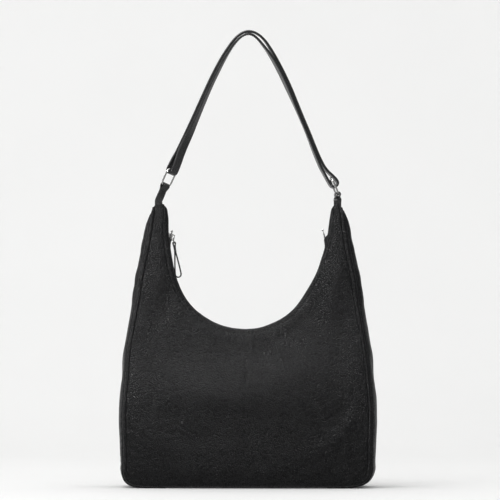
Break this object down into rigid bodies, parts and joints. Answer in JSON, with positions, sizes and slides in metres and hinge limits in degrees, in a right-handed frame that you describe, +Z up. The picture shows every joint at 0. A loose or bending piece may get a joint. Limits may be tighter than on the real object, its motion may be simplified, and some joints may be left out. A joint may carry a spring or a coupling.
{
  "type": "hobo bag",
  "caption": "Soft leather shoulder bag with a deep curved zip-top mouth between two raised ends, and a doubled narrow strap hung on oval metal rings.",
  "frame": {"origin": "middle of the flat base the bag stands on", "axes": "+Z up, front panel faces -Y, +X to the right seen from the front; the zip slider rests at the left end"},
  "size_m": [0.3598, 0.1148, 0.6397],
  "materials": {
    "pebbled_leather": "tumbled grain, satin",
    "strap_leather": "tumbled grain with painted edges",
    "lining": "plain weave",
    "board": "fibre board",
    "zip_tape": "woven tape",
    "zip_metal": "polished",
    "silver": "polished nickel"
  },
  "bodies": {
    "bag": {"front_panel": "pebbled_leather", "back_panel": "pebbled_leather", "left_gusset": "pebbled_leather", "right_gusset": "pebbled_leather", "base_panel": "pebbled_leather", "base_board": "board", "lining_front": "lining", "lining_back": "lining", "lining_gusset": "lining", "slip_pocket": "lining", "zip_facing_front": "pebbled_leather", "zip_facing_back": "pebbled_leather", "zip_tape_front": "zip_tape", "zip_tape_back": "zip_tape", "zip_teeth_front": "zip_metal", "zip_teeth_back": "zip_metal", "zip_stops": "zip_metal", "left_tab_root": "strap_leather", "right_tab_root": "strap_leather"},
    "slider": {"zip_slider": "silver"},
    "puller": {"zip_puller": "silver"},
    "pull": {"zip_pull": "strap_leather"},
    "strap": {"strap_outer": "strap_leather", "strap_inner": "strap_leather", "left_tab": "strap_leather", "right_tab": "strap_leather"},
    "ring_l": {"left_ring": "silver"},
    "ring_r": {"right_ring": "silver"}
  },
  "joints": [
    {"name": "zip_run", "type": "hinge", "parent": "bag", "child": "slider", "pos_m": [0, 0, 0.3264], "axis": [0, -1, 0], "range_deg": [0, 203]},
    {"name": "puller_swing", "type": "hinge", "parent": "slider", "child": "puller", "pos_m": [-0.1042, 0, 0.34912], "axis": [0, -1, 0], "range_deg": [-1, 115]},
    {"name": "pull_swing", "type": "hinge", "parent": "puller", "child": "pull", "pos_m": [-0.10281, 0, 0.34124], "axis": [0, -1, 0], "range_deg": [-1, 20]},
    {"name": "strap_fold", "type": "hinge", "parent": "bag", "child": "strap", "pos_m": [0, 0, 0.401], "axis": [1, 0, 0], "range_deg": [-90, 90]},
    {"name": "left_ring_pivot", "type": "hinge", "parent": "strap", "child": "ring_l", "pos_m": [-0.11553, 0, 0.42188], "axis": [0.5826, 0.766, -0.2717], "range_deg": [-2, 2]},
    {"name": "right_ring_pivot", "type": "hinge", "parent": "strap", "child": "ring_r", "pos_m": [0.126, 0, 0.40939], "axis": [-0.1915, 0.9781, -0.0809], "range_deg": [-2, 1]}
  ]
}
